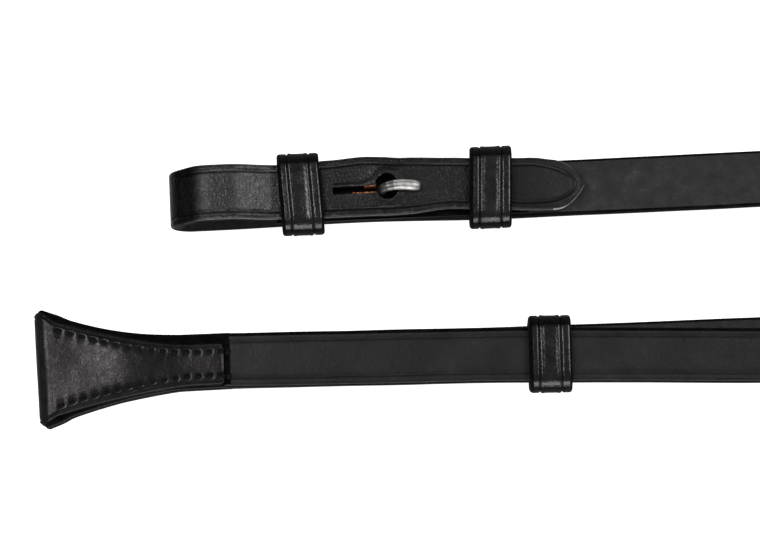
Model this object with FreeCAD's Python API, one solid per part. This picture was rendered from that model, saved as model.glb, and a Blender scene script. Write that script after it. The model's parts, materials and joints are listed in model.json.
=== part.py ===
"""A pair of leather reins with a joined hand end, a sliding runner and hook-stud bit ends.

Millimetres. +X runs along the hand-end straps, away from the sewn hand end, +Z is up, and z = 0
is the surface that the reins lie on. The origin is on the underside of the hand-end cover.
The near rein is the upper strap of the pair and the off rein is the lower one.
"""
import FreeCAD, Part
import math
import os

from FreeCAD import Matrix, Vector

# Straps
STRAP_WIDTH = 16.0
STRAP_THICK = 3.4
PAIR_STEP = 3.6          # middle of one strap to middle of the strap on it
ARC_SHARE = 0.45         # how much of the shorter run an arc takes
ARC_STEP = 8.0           # degrees between the sections of an arc

# Sewn hand end
COVER_LENGTH = 54.0
COVER_THICK = 1.4
FLARE_HALF = 16.6        # half width of the straps' flared ends
FLARE_CORNER = 0.45      # extra half width at the flare's wide corners
COVER_HALF = 15.3
COVER_NARROW_HALF = 6.15
COVER_SPREAD = 1.35      # extra half width where the cover folds round the straps
COVER_DROP = (0.5, 0.8)  # how far the cover is sewn off the middle, by its fold and by its strap end
CORNER_RADIUS = 2.0
HAND_END_TURN = 1.5      # degrees
HAND_END_RIGHT = (27.3, 0.25)
LOW_BASE = COVER_THICK   # underside of the off rein on the cover and in the runner

# Stitches
STITCH_LENGTH = 1.9
STITCH_WIDTH = 1.0
STITCH_HEIGHT = 0.45
STITCH_PITCH = 3.3
STITCH_INSET = 2.65      # from the cover's edge

# Sliding runner
RUNNER_X = 121.0
RUNNER_Y = 0.15
RUNNER_WIDTH = 12.2
RUNNER_INNER_HALF = 9.0
RUNNER_OUTER_HALF = 11.3
RUNNER_BASE = (0.05, 1.2)
RUNNER_TOP = (8.9, 10.9)

# Bit ends, in their own frame: u from the fold towards the rein, w across, z from rein to billet
FOLD_RADIUS = 3.2
BILLET_THICK = 3.0
LINING_THICK = 2.0
SEAM_U = 93.2            # where the folded part meets the rein, under the point keeper
LINING_SPAN = (31.0, 104.0)
BILLET_END = 120.5
BILLET_HALF = (8.0, 7.8, 8.6, 7.5)
POINT_LENGTH = 9.0
BILLET_SHIFT = (1.0, 1.5, 0.5)   # how far the turned-back layer lies off the rein's middle
HOLE_U = 63.5
HOLE_W = 1.3
HOLE_RADIUS = 3.4
SLOT_SPAN = (47.0, 62.0)
SLOT_HALF = 1.1
KEEPER_U = (38.1, 93.2)
KEEPER_W = (0.3, 0.0)
KEEPER_WIDTH = 12.2
KEEPER_HALF = 12.15
KEEPER_WALL = 2.3
KEEPER_BASE = 0.8
HOOK_RADIUS = 1.4
HOOK_REACH = 9.6
STUD_FLANGE = (4.2, 0.8)
NEAR_FOLD = (12.0, 47.2)
NEAR_TURN = 1.3          # degrees
OFF_FOLD = (407.4, 102.0)
OFF_HEIGHT = 12.2        # middle of the off bit end above the surface, on its keepers' edges

# Put-away roll, in which both reins stand on edge
ROLL_CENTRE = (367.3, -3.4)
ROLL_RADIUS = 49.0       # of the incoming pair where the outgoing pair leaves
ROLL_PITCH = 9.7         # from the incoming pair to the outgoing pair
ROLL_ENTRY = -50.0       # degrees clockwise from the +Y side
PAIR_HALF = PAIR_STEP / 2 + STRAP_THICK / 2 + 0.1

# Routes of the straps' middle lines in plan, with the height where it isn't set by the lean
NEAR_FLAT = [(27.6, 0.15), (66.0, 0.0), (104.0, 0.15), (147.0, -0.6), (190.0, -1.65)]
OFF_FLAT = [(27.6, 0.35), (66.0, 0.7), (104.0, 0.7), (140.0, 1.2), (190.0, 2.5)]
LOW_UNTIL = 130.0
DOWN_BY = 172.0
TWIST_END_X = 268.0
NEAR_EDGE = [(268.0, 3.7), (289.6, 3.8), (312.4, 14.3), (326.3, 31.0)]
OFF_EDGE = [(268.0, 0.1), (290.4, 0.1), (314.8, 11.5), (329.05, 28.6)]
NEAR_BACK_EDGE = [(367.3, 53.5), (334.0, 53.3), (300.0, 53.7), (266.0, 52.9)]
NEAR_BACK_FLAT = [(190.0, 51.35), (150.0, 50.2), (105.2, 49.1)]
OFF_BACK = [
    (367.3, 57.1, 8.0), (332.0, 58.2, 8.0), (294.0, 61.4, 8.0), (262.0, 65.6, 8.0),
    (231.0, 66.5, 8.0), (220.0, 77.0, 8.0), (220.0, 91.6, 8.0), (230.6, 101.9, 8.0),
    (250.0, 102.2, 9.3), (272.0, 102.0, 12.1), (314.2, 102.0, 12.0),
]


def smooth(share):
    share = min(max(share, 0.0), 1.0)
    return share * share * (3 - 2 * share)


def plan_stations(points, name):
    """The stations (x, y, z, heading) along runs joined by tangent arcs."""
    points = [Vector(*p) for p in points]
    runs = [b - a for a, b in zip(points, points[1:])]
    headings = [math.atan2(r.y, r.x) for r in runs]
    stations = [(points[0], headings[0])]
    radii = []
    for i in range(1, len(points) - 1):
        turn = (headings[i] - headings[i - 1] + math.pi) % (2 * math.pi) - math.pi
        reach = ARC_SHARE * min(runs[i - 1].Length, runs[i].Length)
        start = points[i] - runs[i - 1] * (reach / runs[i - 1].Length)
        end = points[i] + runs[i] * (reach / runs[i].Length)
        radii.append(reach / math.tan(max(abs(turn), 1e-6) / 2))
        steps = max(1, math.ceil(math.degrees(abs(turn)) / ARC_STEP))
        first = headings[i - 1]
        side = 1 if turn > 0 else -1
        centre = start + Vector(-math.sin(first), math.cos(first), 0) * (side * radii[-1])
        for k in range(steps + 1):
            heading = first + turn * k / steps
            across = Vector(-math.sin(heading), math.cos(heading), 0) * (-side * radii[-1])
            height = start.z + (end.z - start.z) * k / steps
            at = centre + across
            stations.append((Vector(at.x, at.y, height), heading))
    stations.append((points[-1], headings[-1]))
    print(name, "radii", [round(r) for r in radii])
    return stations


def section(at, heading, lean):
    """The strap's rectangle. A lean of 0 is flat, and 90 is on edge with its top to the left."""
    left = Vector(-math.sin(heading), math.cos(heading), 0)
    up = Vector(0, 0, 1)
    normal = up * math.cos(lean) + left * math.sin(lean)
    width = left * math.cos(lean) - up * math.sin(lean)
    corners = [
        at + width * (a * STRAP_WIDTH / 2) + normal * (b * STRAP_THICK / 2)
        for a, b in ((-1, -1), (1, -1), (1, 1), (-1, 1))
    ]
    return Part.makePolygon(corners + [corners[0]])


def edge_height(lean):
    """The middle of a strap that stands on z = 0 at this lean."""
    return (STRAP_WIDTH * abs(math.sin(lean)) + STRAP_THICK * abs(math.cos(lean))) / 2


def strap(sections, name):
    solid = Part.makeLoft([section(*s) for s in sections], True, True)
    length = sum((b[0] - a[0]).Length for a, b in zip(sections, sections[1:]))
    ratio = solid.Volume / (length * STRAP_WIDTH * STRAP_THICK)
    print(name, "length", round(length, 1), "volume over section times length", round(ratio, 3))
    return solid


def low_height(x):
    """The height of the off rein's middle where the pair lies flat."""
    down = smooth((x - LOW_UNTIL) / (DOWN_BY - LOW_UNTIL))
    return STRAP_THICK / 2 + LOW_BASE * (1 - down)


def flat_pair(points, step, name):
    """The flat stretch from the hand end, with the off rein step 0 and the near rein above it."""
    stations = plan_stations([(x, y, 0) for x, y in points], name)
    extra = [
        x for x in (LOW_UNTIL, LOW_UNTIL + 14, LOW_UNTIL + 28, DOWN_BY)
        if all(abs(x - s[0].x) > 2 for s in stations)
    ]
    for x in extra:
        k = max(i for i, s in enumerate(stations) if s[0].x < x)
        a, b = stations[k][0], stations[k + 1][0]
        y = a.y + (b.y - a.y) * (x - a.x) / (b.x - a.x)
        stations.insert(k + 1, (Vector(x, y, 0), stations[k][1]))
    return [(Vector(p.x, p.y, low_height(p.x) + step), h, 0.0) for p, h in stations]


def twist_out(near):
    """The pair turning together from flat to on edge, as it leaves towards the roll."""
    first, last = NEAR_FLAT[-1][0], TWIST_END_X
    sections = []
    for k in range(1, 12):
        share = k / 11
        lean = math.radians(90) * smooth(share)
        at = Vector(first + (last - first) * share, OFF_FLAT[-1][1], edge_height(lean))
        at.y += (OFF_EDGE[0][1] - OFF_FLAT[-1][1]) * smooth(share)
        if near:
            slip = (NEAR_FLAT[-1][1] - OFF_FLAT[-1][1]) * (1 - smooth(share))
            at.y += PAIR_STEP * math.sin(lean) + slip * math.cos(lean)
            at.z += PAIR_STEP * math.cos(lean) - slip * math.sin(lean)
        sections.append((at, 0.0, lean))
    return sections


def lower_strap(flat, edge, near, name):
    on_edge = plan_stations([(x, y, STRAP_WIDTH / 2) for x, y in edge], name)
    upright = [(p, h, math.radians(90)) for p, h in on_edge[1:]]
    rise = PAIR_STEP if near else 0.0
    return strap(flat_pair(flat, rise, name) + twist_out(near) + upright, name)


def near_upper_strap():
    name = "rein_near_upper"
    on_edge = plan_stations([(x, y, STRAP_WIDTH / 2) for x, y in NEAR_BACK_EDGE], name)
    sections = [(p, h, math.radians(90)) for p, h in on_edge]
    sections[0] = (sections[0][0], math.pi, math.radians(90))
    start, end = NEAR_BACK_EDGE[-1], NEAR_BACK_FLAT[0]
    heading = math.atan2(end[1] - start[1], end[0] - start[0])
    sections[-1] = (sections[-1][0], heading, math.radians(90))
    for k in range(1, 12):
        share = k / 11
        lean = math.radians(90 + 90 * smooth(share))
        x, y = (a + (b - a) * share for a, b in zip(start, end))
        sections.append((Vector(x, y, edge_height(lean)), heading, lean))
    end = NEAR_BACK_FLAT[-1]
    turned = math.radians(180 + NEAR_TURN)
    sections.append((Vector(end[0], end[1], STRAP_THICK / 2), turned, math.pi))
    return strap(sections, name)


def off_upper_strap():
    stations = plan_stations(OFF_BACK, "rein_off_upper")
    sections = [(p, h, math.radians(90)) for p, h in stations]
    sections[0] = (sections[0][0], math.pi, math.radians(90))
    return strap(sections, "rein_off_upper")


def roll_outline(radius, start, end):
    """A spiral edge about the roll's centre, by degrees clockwise from the +Y side."""
    steps = max(3, round((end - start) / 20))
    points = []
    for k in range(steps + 1):
        t = math.radians(start + (end - start) * k / steps)
        r = radius - ROLL_PITCH / math.pi * t
        points.append(Vector(ROLL_CENTRE[0] + r * math.sin(t), ROLL_CENTRE[1] + r * math.cos(t), 0))
    curve = Part.BSplineCurve()
    curve.interpolate(points)
    return curve.toShape(), points[0], points[-1]


def rein_roll():
    incoming, a, b = roll_outline(ROLL_RADIUS + PAIR_HALF, ROLL_ENTRY, 0)
    outgoing, c, d = roll_outline(ROLL_RADIUS + ROLL_PITCH + PAIR_HALF, 0, 360 + ROLL_ENTRY)
    edges = [incoming, Part.makeLine(b, c), outgoing, Part.makeLine(d, a)]
    face = Part.Face(Part.Wire(edges))
    return face.extrude(Vector(0, 0, STRAP_WIDTH))


def box(x, y, z):
    """A box from its (low, high) pairs."""
    size = [high - low for low, high in (x, y, z)]
    return Part.makeBox(*size, Vector(x[0], y[0], z[0]))


def flare(x):
    """Half width of the straps' flared ends, which narrow to the strap in a hollow curve."""
    share = min(1.0, max(0.0, (15.7 - x) / 40.0))
    spread = (FLARE_HALF - STRAP_WIDTH / 2) * share ** 1.77
    return STRAP_WIDTH / 2 + spread + FLARE_CORNER * smooth((-16.5 - x) / 4.0)


def cover_half(x):
    """Half width of the cover, which widens a little more where it folds round the straps."""
    share = max(0.0, (18.0 - x) / 44.0)
    spread = (COVER_HALF - COVER_NARROW_HALF) * share ** 1.5
    return COVER_NARROW_HALF + spread + COVER_SPREAD * smooth((-20.5 - x) / 5.0)


def cover_middle(x):
    by_fold, by_end = COVER_DROP
    along = x + COVER_LENGTH / 2
    return -by_fold * smooth(along / 8.0) - by_end * smooth(along / 40.0)


def flare_middle(x):
    """The flared ends bow a little to one side before they narrow to the strap."""
    return -0.35 * math.sin(math.pi * min(1.0, (x + COVER_LENGTH / 2) / 38.0))


def outline_solid(half_width, middle, x0, x1, z0, z1):
    """A plate whose edges lie half_width either side of middle, with its corners at x0 rounded."""
    xs = [x0 + (x1 - x0) * k / 20 for k in range(21)]
    sides = []
    for side in (1, -1):
        curve = Part.BSplineCurve()
        curve.interpolate([Vector(x, middle(x) + side * half_width(x), z0) for x in xs])
        sides.append(curve.toShape())
    ends = []
    for x in (x0, x1):
        left = Vector(x, middle(x) + half_width(x), z0)
        right = Vector(x, middle(x) - half_width(x), z0)
        ends.append(Part.makeLine(left, right))
    wire = Part.Wire(Part.__sortEdges__(sides + ends))
    solid = Part.Face(wire).extrude(Vector(0, 0, z1 - z0))
    corners = [
        e for e in solid.Edges
        if abs(e.Length - (z1 - z0)) < 1e-6 and all(abs(v.X - x0) < 1e-6 for v in e.Vertexes)
    ]
    return solid.makeFillet(CORNER_RADIUS, corners)


def at_hand_end(shape):
    """Places a shape from the hand end's own frame, whose x = COVER_LENGTH / 2 is its strap end."""
    shape = shape.copy()
    shape.rotate(Vector(COVER_LENGTH / 2, 0, 0), Vector(0, 0, 1), HAND_END_TURN)
    shape.translate(Vector(HAND_END_RIGHT[0] - COVER_LENGTH / 2, HAND_END_RIGHT[1], 0))
    return shape


def hand_end():
    """The folded cover, the two flared strap ends inside it, and its two rows of stitches.

    The last stitch of each row lies on the near rein, just past the cover's end.
    """
    half = COVER_LENGTH / 2
    top = LOW_BASE + STRAP_THICK + PAIR_STEP
    cover = outline_solid(cover_half, cover_middle, -half, half, 0, top + COVER_THICK)
    cover = cover.cut(box((-half + COVER_THICK, half + 1), (-20, 20), (COVER_THICK, top)))
    tails = {}
    for name, low in (("rein_off_hand_tail", 0.0), ("rein_near_hand_tail", PAIR_STEP)):
        base = LOW_BASE + low
        heights = (base, base + STRAP_THICK)
        tails[name] = outline_solid(flare, flare_middle, -half + COVER_THICK, half, *heights)
    nodes = {"hand_end_cover": cover, **tails}
    for name, side in (("hand_end_stitches_upper", 1), ("hand_end_stitches_lower", -1)):
        stitches = []
        for k in range(16):
            x, z = -half + 7.0 + STITCH_PITCH * k, top + COVER_THICK
            if k == 15:
                x, z = half + 0.05 + STITCH_LENGTH / 2, top
            y = cover_middle(x) + side * (cover_half(x) - STITCH_INSET)
            stitch = box(
                (x - STITCH_LENGTH / 2, x + STITCH_LENGTH / 2),
                (y - STITCH_WIDTH / 2, y + STITCH_WIDTH / 2),
                (z, z + STITCH_HEIGHT),
            )
            stitches.append(stitch)
        nodes[name] = Part.makeCompound(stitches)
    return {name: at_hand_end(shape) for name, shape in nodes.items()}


def rounded_ring(width, outer_half, inner_half, base, top, radius):
    """A strap loop about the x axis: base and top are the (low, high) heights of its bars."""
    outer = box((-width / 2, width / 2), (-outer_half, outer_half), (base[0], top[1]))
    inner = box((-width, width), (-inner_half, inner_half), (base[1], top[0]))
    upper = [
        e for e in outer.Edges
        if abs(e.Length - width) < 1e-6 and e.BoundBox.ZMin > top[1] - 1e-3
    ]
    return outer.makeFillet(radius, upper).cut(inner)


def centre_runner():
    ring = rounded_ring(
        RUNNER_WIDTH, RUNNER_OUTER_HALF, RUNNER_INNER_HALF, RUNNER_BASE, RUNNER_TOP, 2.4
    )
    ring.translate(Vector(RUNNER_X, RUNNER_Y, 0))
    return ring


def prism(points):
    """A block 60 wide across w with the (u, z) outline points."""
    wire = Part.makePolygon([Vector(u, -30, z) for u, z in points + points[:1]])
    return Part.Face(wire).extrude(Vector(0, 60, 0))


def plan_block(points):
    """A tall block with the (u, w) outline points."""
    wire = Part.makePolygon([Vector(u, w, -5) for u, w in points + points[:1]])
    return Part.Face(wire).extrude(Vector(0, 0, 40))


def billet_profile():
    """The turned-back layer seen from the side, from the fold to its point."""
    rest = STRAP_THICK + LINING_THICK
    inner = STRAP_THICK + 2 * FOLD_RADIUS
    under = [
        (FOLD_RADIUS + STRAP_THICK, inner),
        (LINING_SPAN[0] - 1, rest),
        (LINING_SPAN[1] + 1, rest),
        (LINING_SPAN[1] + 8, STRAP_THICK),
        (BILLET_END, STRAP_THICK),
    ]
    over = [
        (BILLET_END, STRAP_THICK + BILLET_THICK - 0.6),
        (LINING_SPAN[1] + 8, STRAP_THICK + BILLET_THICK),
        (LINING_SPAN[1], rest + BILLET_THICK),
        (LINING_SPAN[0], rest + BILLET_THICK),
        (FOLD_RADIUS + STRAP_THICK, inner + STRAP_THICK),
    ]
    return under + over


def billet_plan():
    loop, keeper, slot, end = BILLET_HALF
    low, high, late = BILLET_SHIFT
    stations = [
        (0, loop, low), (28, loop, low), (38, keeper, low), (46, slot, high), (68, slot, high),
        (80, end, high), (93, end, low), (104, end, late), (BILLET_END - POINT_LENGTH, end, 0.0),
        (BILLET_END - 3, end * 0.62, 0.0), (BILLET_END, 0.8, 0.0),
    ]
    upper = [(u, shift + half) for u, half, shift in stations]
    return upper + [(u, shift - half) for u, half, shift in reversed(stations)]


def bit_billet():
    """The rein's end, folded back on itself round the bit ring, with its keyhole slot."""
    lower = box((FOLD_RADIUS + STRAP_THICK, SEAM_U), (-8, 8), (0, STRAP_THICK))
    axis = Vector(FOLD_RADIUS + STRAP_THICK, -8, FOLD_RADIUS + STRAP_THICK)
    bend = Part.makeCylinder(FOLD_RADIUS + STRAP_THICK, 16, axis, Vector(0, 1, 0))
    bend = bend.cut(Part.makeCylinder(FOLD_RADIUS, 16, axis, Vector(0, 1, 0)))
    bend = bend.cut(box((axis.x, 40), (-20, 20), (-5, 40)))
    upper = prism(billet_profile()).common(plan_block(billet_plan()))
    hole = Part.makeCylinder(HOLE_RADIUS, 40, Vector(HOLE_U, HOLE_W, 4.0))
    slot = box(SLOT_SPAN, (HOLE_W - SLOT_HALF, HOLE_W + SLOT_HALF), (4.0, 40))
    return lower.fuse(bend).fuse(upper.cut(hole).cut(slot)).removeSplitter()


def lining_stitch_boxes(grow):
    boxes = []
    for side in (-1, 1):
        for k in range(12):
            u = LINING_SPAN[0] + 4 + 5.0 * k
            boxes.append(box(
                (u - STITCH_LENGTH / 2 - grow, u + STITCH_LENGTH / 2 + grow),
                (side * 6.2 - STITCH_WIDTH / 2 - grow, side * 6.2 + STITCH_WIDTH / 2 + grow),
                (0.05 - grow, 0.05 + STITCH_HEIGHT + grow),
            ))
    return boxes


def bit_end():
    """The pieces of one bit end, in its own frame."""
    top = STRAP_THICK + LINING_THICK + BILLET_THICK
    lining = box(LINING_SPAN, (-7.6, 7.6), (STRAP_THICK, STRAP_THICK + LINING_THICK))
    keepers = []
    for u, w in zip(KEEPER_U, KEEPER_W):
        base = (STRAP_THICK, STRAP_THICK + KEEPER_BASE)
        bars = (top + 0.2, top + 0.2 + KEEPER_WALL)
        keeper = rounded_ring(
            KEEPER_WIDTH, KEEPER_HALF, KEEPER_HALF - KEEPER_WALL, base, bars, 2.2
        )
        keeper.translate(Vector(u, w, 0))
        keepers.append(keeper)
        half = KEEPER_WIDTH / 2
        lining = lining.cut(box((u - half, u + half), (-20, 20), base))
    foot = STRAP_THICK
    seated = Vector(HOLE_U, HOLE_W, foot)
    flange = Part.makeCylinder(STUD_FLANGE[0], STUD_FLANGE[1], seated)
    head_z = top + HOOK_RADIUS + 0.1
    shank = Part.makeCylinder(HOOK_RADIUS, head_z - foot, seated)
    elbow = Part.makeSphere(HOOK_RADIUS, Vector(HOLE_U, HOLE_W, head_z))
    along = Vector(1, 0, 0)
    head = Part.makeCylinder(HOOK_RADIUS, HOOK_REACH, Vector(HOLE_U, HOLE_W, head_z), along)
    tip = Part.makeSphere(HOOK_RADIUS, Vector(HOLE_U + HOOK_REACH, HOLE_W, head_z))
    stud = flange.fuse([shank, elbow, head, tip]).removeSplitter()
    seat = Part.makeCylinder(STUD_FLANGE[0] + 0.05, STUD_FLANGE[1] + 0.05, seated)
    bore = Part.makeCylinder(HOOK_RADIUS + 0.05, 10, seated)
    lining = lining.cut(seat).cut(bore)
    billet = bit_billet()
    for pocket in lining_stitch_boxes(0.05):
        billet = billet.cut(pocket)
    return {
        "bit_billet": billet,
        "billet_lining": lining,
        "bit_keeper": keepers[0],
        "point_keeper": keepers[1],
        "hook_stud": stud,
        "lining_stitches": Part.makeCompound(lining_stitch_boxes(0.0)),
    }


def place_near(shape):
    shape = shape.copy()
    shape.rotate(Vector(0, 0, 0), Vector(0, 0, 1), NEAR_TURN)
    shape.translate(Vector(NEAR_FOLD[0], NEAR_FOLD[1], 0))
    return shape


def place_off(shape):
    """The off bit end stands on its edge, with its fold away from the hand end."""
    shape = shape.copy()
    turn = Matrix(-1, 0, 0, 0, 0, 0, 1, 0, 0, 1, 0, 0, 0, 0, 0, 1)
    shape.transformShape(turn, False)
    shape.translate(Vector(OFF_FOLD[0], OFF_FOLD[1] - STRAP_THICK / 2, OFF_HEIGHT))
    return shape


def main():
    nodes = hand_end()
    nodes["centre_runner"] = centre_runner()
    nodes["rein_near_lower"] = lower_strap(NEAR_FLAT, NEAR_EDGE, True, "rein_near_lower")
    nodes["rein_off_lower"] = lower_strap(OFF_FLAT, OFF_EDGE, False, "rein_off_lower")
    nodes["rein_roll"] = rein_roll()
    nodes["rein_near_upper"] = near_upper_strap()
    nodes["rein_off_upper"] = off_upper_strap()
    for name, shape in bit_end().items():
        nodes[name + "_near"] = place_near(shape)
        nodes[name + "_off"] = place_off(shape)
    os.makedirs("parts", exist_ok=True)
    for name, shape in nodes.items():
        print(name, "solids", len(shape.Solids), "valid", shape.isValid(), round(shape.Volume))
        shape.exportStep("parts/" + name + ".step")


main()
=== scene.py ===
"""The looks of the leather reins: straps, billets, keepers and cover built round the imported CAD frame.

Sizes below are in millimetres, and MM turns them into the frame's metres.
"""

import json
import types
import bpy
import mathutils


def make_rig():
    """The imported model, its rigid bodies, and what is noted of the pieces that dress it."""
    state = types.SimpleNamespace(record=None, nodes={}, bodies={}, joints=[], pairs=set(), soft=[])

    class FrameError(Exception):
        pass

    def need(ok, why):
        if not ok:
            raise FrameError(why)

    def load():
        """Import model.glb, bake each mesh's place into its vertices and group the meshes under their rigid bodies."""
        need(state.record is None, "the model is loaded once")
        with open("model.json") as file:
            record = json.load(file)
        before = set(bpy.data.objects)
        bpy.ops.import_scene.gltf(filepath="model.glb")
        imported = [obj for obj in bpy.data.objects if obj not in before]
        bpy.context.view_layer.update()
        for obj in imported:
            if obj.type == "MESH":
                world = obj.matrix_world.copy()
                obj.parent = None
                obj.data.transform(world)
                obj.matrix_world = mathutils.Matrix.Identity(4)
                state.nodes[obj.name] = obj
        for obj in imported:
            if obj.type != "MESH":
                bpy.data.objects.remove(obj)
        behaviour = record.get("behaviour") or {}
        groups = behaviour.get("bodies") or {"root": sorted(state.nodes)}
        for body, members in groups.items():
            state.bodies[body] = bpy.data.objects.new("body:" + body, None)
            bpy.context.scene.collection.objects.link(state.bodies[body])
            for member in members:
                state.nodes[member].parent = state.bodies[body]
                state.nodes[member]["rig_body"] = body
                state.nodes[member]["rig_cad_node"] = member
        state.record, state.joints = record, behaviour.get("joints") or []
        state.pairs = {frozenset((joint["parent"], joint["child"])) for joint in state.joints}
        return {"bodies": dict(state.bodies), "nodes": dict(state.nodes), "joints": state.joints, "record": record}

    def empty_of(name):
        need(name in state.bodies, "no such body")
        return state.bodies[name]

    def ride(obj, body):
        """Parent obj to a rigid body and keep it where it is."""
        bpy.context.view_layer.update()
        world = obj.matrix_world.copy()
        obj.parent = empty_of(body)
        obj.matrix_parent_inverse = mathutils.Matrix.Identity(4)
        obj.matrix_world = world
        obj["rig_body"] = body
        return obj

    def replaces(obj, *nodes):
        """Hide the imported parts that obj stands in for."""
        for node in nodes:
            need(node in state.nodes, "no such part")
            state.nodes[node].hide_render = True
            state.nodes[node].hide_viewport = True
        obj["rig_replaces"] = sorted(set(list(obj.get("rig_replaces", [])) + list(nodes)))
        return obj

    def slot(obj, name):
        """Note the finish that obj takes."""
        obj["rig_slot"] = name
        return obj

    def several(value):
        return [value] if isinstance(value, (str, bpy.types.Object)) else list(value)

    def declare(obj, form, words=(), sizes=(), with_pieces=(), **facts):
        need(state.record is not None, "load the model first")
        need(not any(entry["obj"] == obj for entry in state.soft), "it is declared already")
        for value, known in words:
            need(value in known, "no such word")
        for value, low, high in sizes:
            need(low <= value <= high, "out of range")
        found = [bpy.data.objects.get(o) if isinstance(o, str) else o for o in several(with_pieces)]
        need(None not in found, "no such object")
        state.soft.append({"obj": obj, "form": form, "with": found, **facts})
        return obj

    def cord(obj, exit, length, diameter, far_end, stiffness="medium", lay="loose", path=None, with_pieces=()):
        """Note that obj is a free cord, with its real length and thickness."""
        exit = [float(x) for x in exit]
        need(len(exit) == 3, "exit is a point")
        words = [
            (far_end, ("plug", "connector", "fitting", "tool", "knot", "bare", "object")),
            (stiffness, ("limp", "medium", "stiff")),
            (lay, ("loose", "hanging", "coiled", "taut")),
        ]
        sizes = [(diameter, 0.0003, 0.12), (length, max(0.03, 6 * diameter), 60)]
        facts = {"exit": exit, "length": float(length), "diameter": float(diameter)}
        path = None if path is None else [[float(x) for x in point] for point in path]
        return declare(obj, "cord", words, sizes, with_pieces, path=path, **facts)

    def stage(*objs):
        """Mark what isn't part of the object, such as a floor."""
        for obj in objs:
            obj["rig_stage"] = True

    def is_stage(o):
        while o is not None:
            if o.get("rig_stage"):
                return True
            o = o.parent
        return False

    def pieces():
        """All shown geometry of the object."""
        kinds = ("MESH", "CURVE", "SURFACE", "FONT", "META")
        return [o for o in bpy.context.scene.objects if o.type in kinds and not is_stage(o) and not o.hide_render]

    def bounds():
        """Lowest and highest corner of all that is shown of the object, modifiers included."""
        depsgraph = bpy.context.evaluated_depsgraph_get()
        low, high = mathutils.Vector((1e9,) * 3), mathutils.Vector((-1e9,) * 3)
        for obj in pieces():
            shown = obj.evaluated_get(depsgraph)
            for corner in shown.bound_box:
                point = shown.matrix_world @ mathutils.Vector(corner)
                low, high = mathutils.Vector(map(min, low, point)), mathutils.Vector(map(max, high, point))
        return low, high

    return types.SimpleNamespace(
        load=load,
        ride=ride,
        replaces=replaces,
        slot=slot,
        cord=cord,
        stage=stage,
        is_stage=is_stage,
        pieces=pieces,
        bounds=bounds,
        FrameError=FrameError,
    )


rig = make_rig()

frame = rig.load()

import json
import math

import bmesh
import bpy
from mathutils import Matrix, Vector, noise

MM = 0.001
cad_low, cad_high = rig.bounds()

# Straps
HALF_WIDTH = 7.95         # at the hand end
BIT_HALF_WIDTH = 8.2
THICK = 3.3
CREASE_INSET = 2.6
CREASE_DEPTH = 0.24
PAIR_HALF_STEP = 1.8      # from the pair's middle to the middle of either strap

# Hand end
COVER_HALF_LENGTH = 27.0
COVER_THICK = 1.4
COVER_DROP = (0.5, 0.8)   # how far the cover is sewn off the middle, by its fold and by its end
FLARE_START = 15.7        # along the hand end, from where the straps widen towards the fold
FLARE_LENGTH = 40.0
FLARE_SPREAD = 8.65
FLARE_CORNER = 0.45
FLARE_BOW = 0.35
FLARE_BOW_LENGTH = 38.0
TAIL_REACH = 1.8          # how far the flared ends show past the cover
TAIL_SWELL = 0.24         # how much thicker they are than the straps
COVER_START = 18.0        # along the hand end, from where the cover widens towards the fold
COVER_LENGTH = 44.0
COVER_NARROW_HALF = 6.15
COVER_GROWTH = 9.15
COVER_SPREAD = 1.35       # extra half width where the cover folds round the straps
STITCH_PITCH = 3.3
STITCH_INSET = 2.65
STITCHES = 15             # on each side of the cover
STITCH_SIZE = (2.3, 0.5)  # length and radius of the thread that shows
STITCH_SPREAD = 1.4       # a stitch is this much wider than it is high
STITCH_SLANT = 0.16
LAST_STITCH = 1.15        # past the cover's end
LAST_STITCH_SIZE = (2.1, 0.65)
LOW_BASE = 1.4
STACK_TOP = 8.4           # top of the near rein at the hand end
HAND_END_TURN = math.radians(1.5)
HAND_END_RIGHT = Vector((27.3, 0.25, 0))
FOLD_SKEW = 0.026         # how far the fold runs askew, for each unit across

# Runner and keepers
RUNNER_AT = (121.0, 0.15)
KEEPER_U = (38.1, 93.2)
KEEPER_W = (0.3, 0.0)
KEEPER_HALF = 9.85         # inside
KEEPER_LEAN = (-0.05, 0.05)
LOOP_WIDTH = 12.2
# Painted shade: keeper bends that face up less than this, at w > 0 and w < 0, take the near-black bend look.
BEND_SHADE_FACING = (0.93, 0.81)   # bends are dull where they face up less than this, at w > 0 and w < 0

# Bit ends
FOLD = 6.6                # outside radius of the fold
FOLD_SLOPE = math.radians(17)
FOLD_END = 8.4            # from here along the bit end the fold's leather starts to level off
SEAM_U = 93.2
BILLET_END = 120.5
POINT_START = 111.0       # from here the billet narrows to its point
POINT_HALF = 7.47
HOLE = (63.3, 1.3)        # along and across the bit end
HOLE_RADII = (3.45, 3.8)
SLOT_W = 0.55
SLOT_START = 60.1         # inside the hole; the slot runs from here towards the fold
SLOT_STEP = 1.15
SLOT_STEPS = 11
RAW_PAST = (57.0, 53.0)   # from these to the hole the slot's left and right edges are undyed
CREASE_INSET_BILLET = 2.2
CREASE_TURN = 104.0       # from here the billet's two creases bend together
CREASE_END = 117.3
NEAR_TURN = math.radians(1.3)
NEAR_FOLD = Vector((12.0, 47.2, 0))
OFF_FOLD = Vector((407.4, 100.3, 12.2))

# Roll
ROLL_CENTRE = Vector((367.3, -3.4))
ROLL_RADIUS = 49.0
ROLL_PITCH = 9.7
ROLL_ENTRY = math.radians(-50)
ROLL_CORE = 36.0
TURN_STEP = math.radians(15)
CORE_STEP = math.radians(30)

# Where the straps turn between flat and on edge, by x
OUT_TWIST = (190.0, 268.0)
BACK_TWIST = (266.0, 190.0)

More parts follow.
